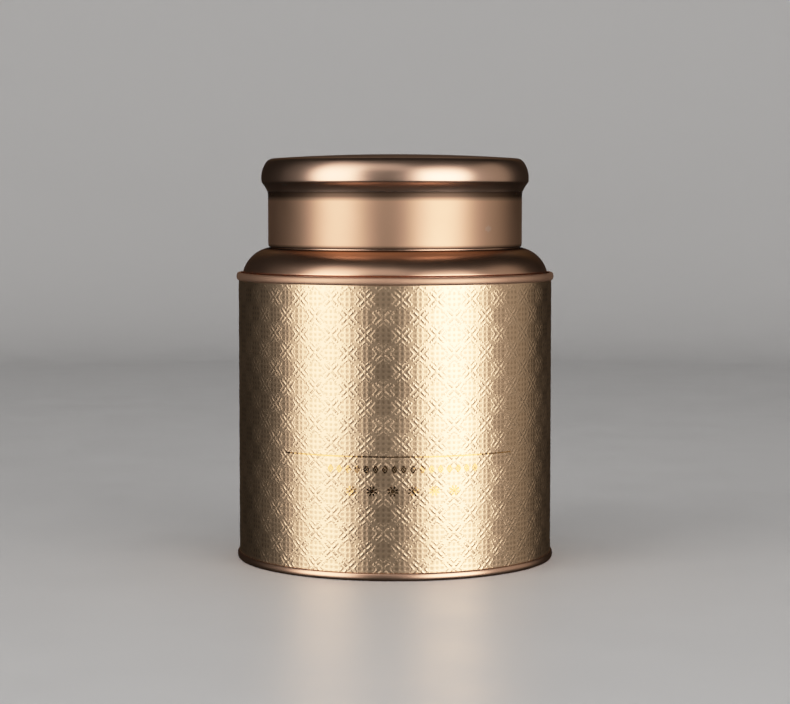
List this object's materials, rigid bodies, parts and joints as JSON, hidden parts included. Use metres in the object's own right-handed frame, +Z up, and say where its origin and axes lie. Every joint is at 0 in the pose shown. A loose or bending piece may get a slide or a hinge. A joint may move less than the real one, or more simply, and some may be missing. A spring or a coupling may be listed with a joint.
{
  "type": "tea caddy",
  "caption": "Round sheet-metal tea caddy: straight barrel with rolled beads, domed shoulder and neck, plug-in inner lid with a knob, and a slip-over outer lid with a bulged top.",
  "frame": {"origin": "centre of the base, on the plane the tin stands on", "axes": "+Z up along the tin's axis, -Y towards the decorated front, +Y towards the side seams"},
  "size_m": [0.085, 0.085, 0.108],
  "materials": {
    "barrel_champagne": "satin metallic lacquer over embossed tinplate",
    "rose_gold": "satin metallic lacquer",
    "bare_tinplate": "bright tinplate with a fine drawn grain",
    "turned_aluminium": "turned and lightly polished",
    "seam_compound": "matte",
    "white_silicone": "matte",
    "white_foam": "fine closed-cell foam"
  },
  "bodies": {
    "tin": {"body_shell": "barrel_champagne", "base_end": "rose_gold", "base_seam_seal": "seam_compound", "shoulder_ring": "rose_gold", "shoulder_seam_seal": "seam_compound", "neck_ring": "rose_gold"},
    "inner_lid": {"inner_lid_pan": "bare_tinplate", "inner_lid_seal": "white_silicone", "inner_lid_knob": "turned_aluminium", "knob_washer": "turned_aluminium", "knob_rivet": "turned_aluminium"},
    "outer_lid": {"lid_skirt": "rose_gold", "lid_top": "rose_gold", "lid_liner": "white_foam"}
  },
  "joints": [
    {"name": "inner_lid_lift", "type": "slide", "parent": "tin", "child": "inner_lid", "axis": [0, 0, 1], "range_m": [0, 0.045]},
    {"name": "outer_lid_lift", "type": "slide", "parent": "inner_lid", "child": "outer_lid", "axis": [0, 0, 1], "range_m": [0, 0.06]}
  ]
}
